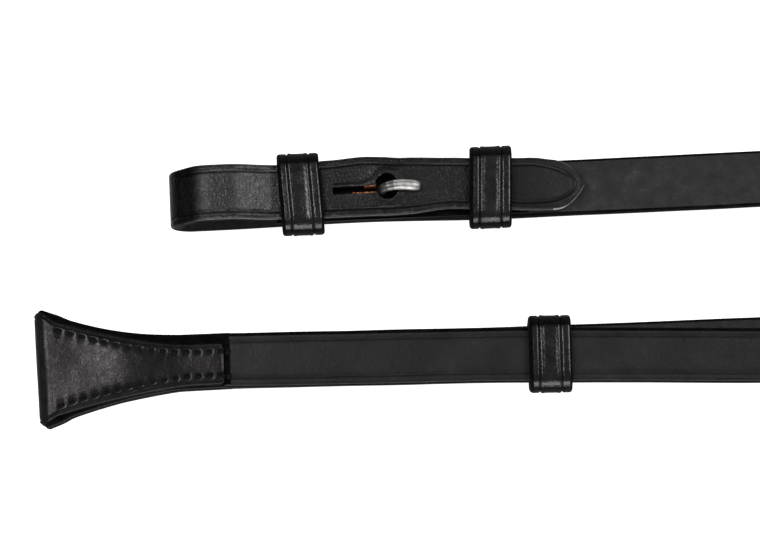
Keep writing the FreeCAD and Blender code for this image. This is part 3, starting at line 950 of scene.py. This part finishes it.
def make_runner(materials):
    def place(u, w, z):
        return Vector((RUNNER_AT[0] + u, RUNNER_AT[1] + w, z))

    runner = make_loop("centre_runner_leather", place, materials, inner_half=9.05, low=1.25, high=8.6,
                       thick=2.2, base_thick=1.1, lean=0.0, crown=0.35)
    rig.ride(runner, "runner")
    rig.replaces(runner, "centre_runner")
    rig.slot(runner, "keeper_leather")


# ---------------------------------------------------------------- bit ends

def near_place(u, w, z):
    c, s = math.cos(NEAR_TURN), math.sin(NEAR_TURN)
    return NEAR_FOLD + Vector((c * u - s * w, s * u + c * w, z))


def off_place(u, w, z):
    """The off bit end stands on its edge, with its fold away from the hand end."""
    return OFF_FOLD + Vector((-u, z, w))


def billet_half(u):
    body = between(u, [(0, 8.1), (28, 8.1), (38, 7.95), (46, 8.5), (57, 8.8), (62, 8.7), (68, 8.4),
                       (82, 7.6), (96, 7.6), (106, 7.8), (112, 7.45)])
    if u <= POINT_START:
        return body
    share = min(1.0, (u - POINT_START) / (BILLET_END - POINT_START))
    return max(0.5, POINT_HALF * (1 - share ** 2.1) ** 0.84)


def billet_shift(u):
    return between(u, [(2, 0.3), (9, 1.1), (38, 1.2), (46, 1.4), (57, 1.75), (68, 1.4), (80, 1.65),
                       (92, 1.1), (104, 0.5), (114, 0.0)])


def under_half(u):
    """Half width of the layer under the billet."""
    return between(u, [(10, 8.1), (90, BIT_HALF_WIDTH)])


def under_shift(u):
    """The layer under the billet lies a little askew in its keepers."""
    return between(u, [(10, -0.1), (56, 0.5), (97, -0.25)])


def fold_rise(u, start):
    """How far the leather climbs from the fold at start before it levels off into its crown."""
    share = min(1.0, max(0.0, (u - FOLD_END) / 5.0))
    level = 5.0 * (share - share ** 3 + share ** 4 / 2)
    return math.tan(FOLD_SLOPE) * (min(u, FOLD_END) - start + level)


def billet_frames():
    """(u, z, out_u, out_z, half, thick, shift) along the turned-back end, from the seam."""
    rest = THICK + 0.1 + 2.0
    bend_u, bend_z, middle = 5.55, 5.6, 3.9
    frames = []
    for k in range(70):
        u = SEAM_U + (bend_u - SEAM_U) * k / 70
        frames.append((u, 1.7, 0, -1, under_half(u), THICK, under_shift(u)))
    for k in range(25):
        a = -math.pi / 2 - (math.pi - FOLD_SLOPE) * k / 24
        u, z = bend_u + middle * math.cos(a), bend_z + middle * math.sin(a)
        shift = under_shift(0) + (billet_shift(u) - under_shift(0)) * k / 24
        frames.append((u, z, math.cos(a), math.sin(a), 8.1, THICK, shift))
    start, low = frames[-1][0], frames[-1][1]
    crown = 17.0
    heights = []
    for k in range(321):
        u = start + (BILLET_END - start) * k / 320
        thick = between(u, [(start, THICK), (40, 3.0), (108, 2.8), (BILLET_END, 1.9)])
        if u < crown:
            z = low + fold_rise(u, start)
        else:
            z = between(u, [(crown, low + fold_rise(crown, start)), (31, rest + 1.5), (97, rest + 1.45),
                            (BILLET_END, 5.6)])
        heights.append((u, z, thick))
    for (u0, z0, _), (u, z, thick) in zip(heights, heights[1:]):
        slope = math.atan2(z - z0, u - u0)
        frames.append((u, z, -math.sin(slope), math.cos(slope), billet_half(u), thick,
                       billet_shift(u)))
    return frames


def hole_lift(u, w):
    """The leather stands up round the hole, and as a lip along the slot on one side."""
    du, dw = u - HOLE[0], w - HOLE[1]
    rim = 0.35 * math.exp(-((math.hypot(du / 0.9, dw) - 4.3) / 1.1) ** 2)
    rim *= 1.0 + 1.5 * smooth((dw - du) / 6.0)
    lip = (dw - 0.75 - 0.26 * max(0.0, du + 8.0)) / 0.5
    along = smooth((du + 17) / 4) * (1 - smooth((du + 1.0) / 3))
    swell = 0.35 * math.exp(-((du + 3) / 10) ** 2 - (dw / 4.0) ** 2)
    return rim + 0.75 * along * math.exp(-lip * lip) + swell


def crease_lift(u, across):
    """A pressed groove with a low bead outside it, along both edges and round the point."""
    if u <= CREASE_TURN:
        off = abs(across) - (billet_half(u) - CREASE_INSET_BILLET)
    else:
        reach, half = CREASE_END - CREASE_TURN, billet_half(CREASE_TURN) - CREASE_INSET_BILLET
        along = u - CREASE_TURN
        share = math.hypot(along / reach, across / half)
        off = (share - 1) * share / math.hypot(along / reach ** 2, across / half ** 2)
    return 0.14 * math.exp(-((off - 1.0) / 0.6) ** 2) - 0.32 * math.exp(-(off / 0.34) ** 2)


def billet_section(half, thick):
    """The billet's section as (across, out, zone), finely divided on its grain side."""
    steps = 70
    top = thick / 2
    corner = min(0.9, half * 0.5)
    bevel = [(half, top - corner), (half - 0.1 * corner, top - 0.5 * corner),
             (half - 0.35 * corner, top - 0.18 * corner), (half - 0.7 * corner, top - 0.03)]
    inner = half - corner
    points = [(a, b, GRAIN) for a, b in bevel]
    points += [(inner * (1 - 2 * k / steps), top, GRAIN) for k in range(steps + 1)]
    points += [(-a, b, GRAIN) for a, b in reversed(bevel[1:])]
    points += [(-half, top - corner, EDGE), (-half, -top + 0.4, EDGE)]
    points += [(-half + 0.3 * corner, -top, FLESH), (0, -top, FLESH)]
    points += [(half - 0.3 * corner, -top, EDGE), (half, -top + 0.4, EDGE)]
    return points


def billet_zone(u, out_z, across, half, zone):
    """The grain's look: loop, plain strap, or a painted highlight along the point's lower edge."""
    if zone != GRAIN:
        return zone
    on_edge = -half < across < -half + 0.5 * min(0.9, half * 0.5)
    # Painted highlight: the lower bevel along the point takes a light grey look.
    if u > POINT_START and out_z > 0 and on_edge:
        return EDGE_HIGHLIGHT
    return LOOP if u < KEEPER_U[1] and out_z > -0.9 else GRAIN


def shade_and_dullness(u, w, top):
    """How dark and matte the billet's grain is painted: fully round its fold, as painted shade, half past its loop, a
    quarter at its point.

    Beside the hole it is left light and glossy, a painted highlight on the lip.
    """
    if not top:
        return 1 - smooth((u - 6.0) / 2.0)
    fold = 1 - smooth((u - 6.5) / 5.5)
    flat = 0.5 * smooth((u - 30.0) / 8.0) - 0.25 * smooth((u - 90.0) / 6.0)
    du, dw = u - HOLE[0] + 4.0, w - HOLE[1] - 4.2
    return fold + flat - 0.5 * math.exp(-(du / 3.5) ** 2 - (dw / 2.4) ** 2)


def keyhole_cutter(name, looks):
    """The round hole and the slot as one tall block, a little wider at its top.

    levels are its heights, each with the slot's reach to the left and right of SLOT_W.
    """
    levels = ((4.9, 0.8, 0.3), (7.0, 0.85, 0.35), (7.15, 0.95, 0.75), (9.0, 1.1, 1.1), (14, 1.3, 1.5))
    reach_u, reach_w = HOLE_RADII
    rings, zones = [], []
    for z, left, right in levels:
        outline = []
        for k in range(33):
            a = math.radians(-163 + 326 * k / 32)
            outline.append((HOLE[0] + reach_u * math.cos(a), HOLE[1] + reach_w * math.sin(a), EDGE))
        along = [SLOT_START - SLOT_STEP * k for k in range(SLOT_STEPS + 1)]
        outline += [(u, SLOT_W + left, RAW if u > RAW_PAST[0] else EDGE) for u in along]
        outline += [(u, SLOT_W - right, RAW if u > RAW_PAST[1] else EDGE) for u in reversed(along)]
        zones.append([zone for _, _, zone in outline])
        rings.append([Vector((u, w, z)) for u, w, _ in outline])
    return skin(name, rings, zones, looks)


def make_billet(end, place, looks):
    rings, zones = [], []
    for u, z, out_u, out_z, half, thick, shift in billet_frames():
        section = billet_section(half, thick)
        zones.append([billet_zone(u, out_z, a, half, zone) for a, _, zone in section])
        ring = []
        for a, b, _ in section:
            w = a + shift
            lift = ripple((u, w, z), 8.0, 0.09) * min(1.0, half / 4)
            if out_z > 0.5 and b > 0:
                lift += crease_lift(u, a) * min(1.0, (half - abs(a)) / 0.8)
                lift += hole_lift(u, w) * smooth((half - abs(a)) / 3.0)
            ring.append(Vector((u + out_u * (b + lift), w, z + out_z * (b + lift))))
        rings.append(ring)
    billet = skin("bit_billet_" + end + "_leather", rings, zones, looks)
    cutter = keyhole_cutter("keyhole_" + end, looks)
    cut = billet.modifiers.new("keyhole", "BOOLEAN")
    cut.operation = "DIFFERENCE"
    cut.solver = "EXACT"
    cut.material_mode = "TRANSFER"
    cut.object = cutter
    cut_mesh = bpy.data.meshes.new_from_object(
        billet.evaluated_get(bpy.context.evaluated_depsgraph_get()))
    billet.modifiers.clear()
    billet.data = cut_mesh
    bpy.data.objects.remove(cutter)
    # Painted shade round the fold and a painted highlight on the lip, kept as a mesh attribute.
    dull = billet.data.attributes.new("dull", "FLOAT", "POINT")
    for vertex, value in zip(billet.data.vertices, dull.data):
        u, w, z = vertex.co / MM
        value.value = shade_and_dullness(u, w, z > FOLD)
        vertex.co = place(u, w, z) * MM
    billet.data.set_sharp_from_angle(angle=SHARP)
    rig.ride(billet, "reins")
    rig.replaces(billet, "bit_billet_" + end)
    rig.slot(billet, "billet_leather")


def make_hook(end, place, steel):
    """The stud: its shank leans out of the hole and bends over into a rounded hook."""
    knots = [(0.3, -1.6, 4.6), (-0.4, -1.5, 6.2), (-1.6, -1.3, 7.8), (-1.8, -1.0, 9.2),
             (-0.3, -0.5, 10.2), (2.2, -0.1, 10.5), (5.0, -0.1, 10.4), (7.6, -0.35, 10.1),
             (9.6, -0.75, 9.6)]
    path = [Vector(p) + Vector((HOLE[0], HOLE[1], 0)) for p in knots]
    for _ in range(2):
        cut_corners = [path[0]]
        for a, b in zip(path, path[1:]):
            cut_corners += [a.lerp(b, 0.25), a.lerp(b, 0.75)]
        path = cut_corners + [path[-1]]
    count, sides, tip = len(path), 20, 8
    rings = []
    for k, p in enumerate(path):
        ahead = (path[min(k + 1, count - 1)] - path[max(k - 1, 0)]).normalized()
        side = Vector((-ahead.y, ahead.x, 0)) if abs(ahead.z) < 0.9 else Vector((0, 1, 0))
        side = (side - ahead * side.dot(ahead)).normalized()
        out = ahead.cross(side)
        radius = between(k, [(0, 1.3), (count * 0.5, 1.35), (count - tip, 1.5)])
        share = max(0.0, (k - (count - tip)) / (tip - 1))
        radius *= max(0.1, math.sqrt(max(0.0, 1 - share ** 2.5)))
        rings.append([place(*(p + side * 1.05 * radius * math.cos(math.tau * j / sides)
                              + out * 0.9 * radius * math.sin(math.tau * j / sides)))
                      for j in range(sides)])
    # Painted shade: the shank and the start of its bend take the darker copies of the steel, the arm the bright one.
    wear_and_shade = [DEEP_SHADE if k < 0.50 * count else HALF_SHADE if k < 0.58 * count else BRIGHT for k in range(count)]
    zones = [[zone] * sides for zone in wear_and_shade]
    hook = skin("hook_" + end + "_steel", rings, zones, steel)
    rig.ride(hook, "reins")
    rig.replaces(hook, "hook_stud_" + end)
    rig.slot(hook, "stud_steel")


def make_keepers(end, place, materials):
    kinds = ("bit_keeper", "point_keeper")
    for kind, at, across, lean in zip(kinds, KEEPER_U, KEEPER_W, KEEPER_LEAN):
        def shifted(u, w, z, at=at, across=across):
            return place(at + u, w + across, z)

        name = kind + "_" + end
        keeper = make_loop(name + "_leather", shifted, materials, inner_half=KEEPER_HALF, low=4.25,
                           high=8.75, thick=2.3, base_thick=0.7, lean=lean, crown=0.3)
        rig.ride(keeper, "reins")
        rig.replaces(keeper, name)
        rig.slot(keeper, "keeper_leather")


def make_floor(material):
    bm = bmesh.new()
    bmesh.ops.create_grid(bm, x_segments=8, y_segments=8, size=3.0)
    mesh = bpy.data.meshes.new("floor")
    bm.to_mesh(mesh)
    bm.free()
    floor = new_object("floor", mesh, [material])
    floor.location.z = -0.0002
    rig.stage(floor)


make_camera()
make_studio()
make_floor(pale_floor("pale_floor"))

flesh = flesh_leather("flesh_side")
edge = burnished_edge("burnished_edge")
raw = raw_leather("raw_cut_leather")
bend_shade_look = bend_shade_leather("folded_grain")
rein_grain = grain_leather("rein_grain", 0.42, 1.0, 0.28)
loop_grain = grain_leather("loop_grain", 0.34, 2.4, 0.56, (1, 0.96, 0.95, 1))
billet_grain = grain_leather("billet_grain", 0.40, 0.7, 0.28)
cover_grain = grain_leather("cover_grain", 0.25, 0.5, 0.19, (1, 0.91, 0.91, 1))
keeper_grain = grain_leather("keeper_grain", 0.20, 0.7, 0.40)
strap_looks = [rein_grain, flesh, edge]
# Painted shade: the tails' grain side takes the black edge look.
tail_shade_looks = [edge, flesh, edge]
cover_looks = [cover_grain, flesh, edge, bend_shade_look]
keeper_looks = [keeper_grain, flesh, edge, bend_shade_look]
billet_looks = [billet_grain, flesh, edge, raw, loop_grain, rubbed_edge("rubbed_edge")]
thread = waxed_thread("thread")
# Three copies of one plate, the two darker ones for painted shade on the hook.
steel = [plated_steel("dulled_steel", 0.12), plated_steel("worn_steel", 0.35),
         plated_steel("bright_steel", 0.8)]

make_reins(strap_looks)
make_tail("rein_near_hand_tail", LOW_BASE + 3.6, 1, tail_shade_looks)
make_tail("rein_off_hand_tail", LOW_BASE, -1, tail_shade_looks)
make_cover(cover_looks)
make_hand_stitches("hand_end_stitches_upper", 1, thread)
make_hand_stitches("hand_end_stitches_lower", -1, thread)
make_runner(keeper_looks)
for end, place in (("near", near_place), ("off", off_place)):
    make_billet(end, place, billet_looks)
    make_keepers(end, place, keeper_looks)
    make_hook(end, place, steel)
    for kept, look in (("billet_lining_", edge), ("lining_stitches_", thread)):
        node = frame["nodes"][kept + end]
        node.data.materials.clear()
        node.data.materials.append(look)

low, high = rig.bounds()
with open("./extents.json", "w") as out:
    json.dump({"cad": [list(cad_low), list(cad_high)], "visual": [list(low), list(high)]}, out)
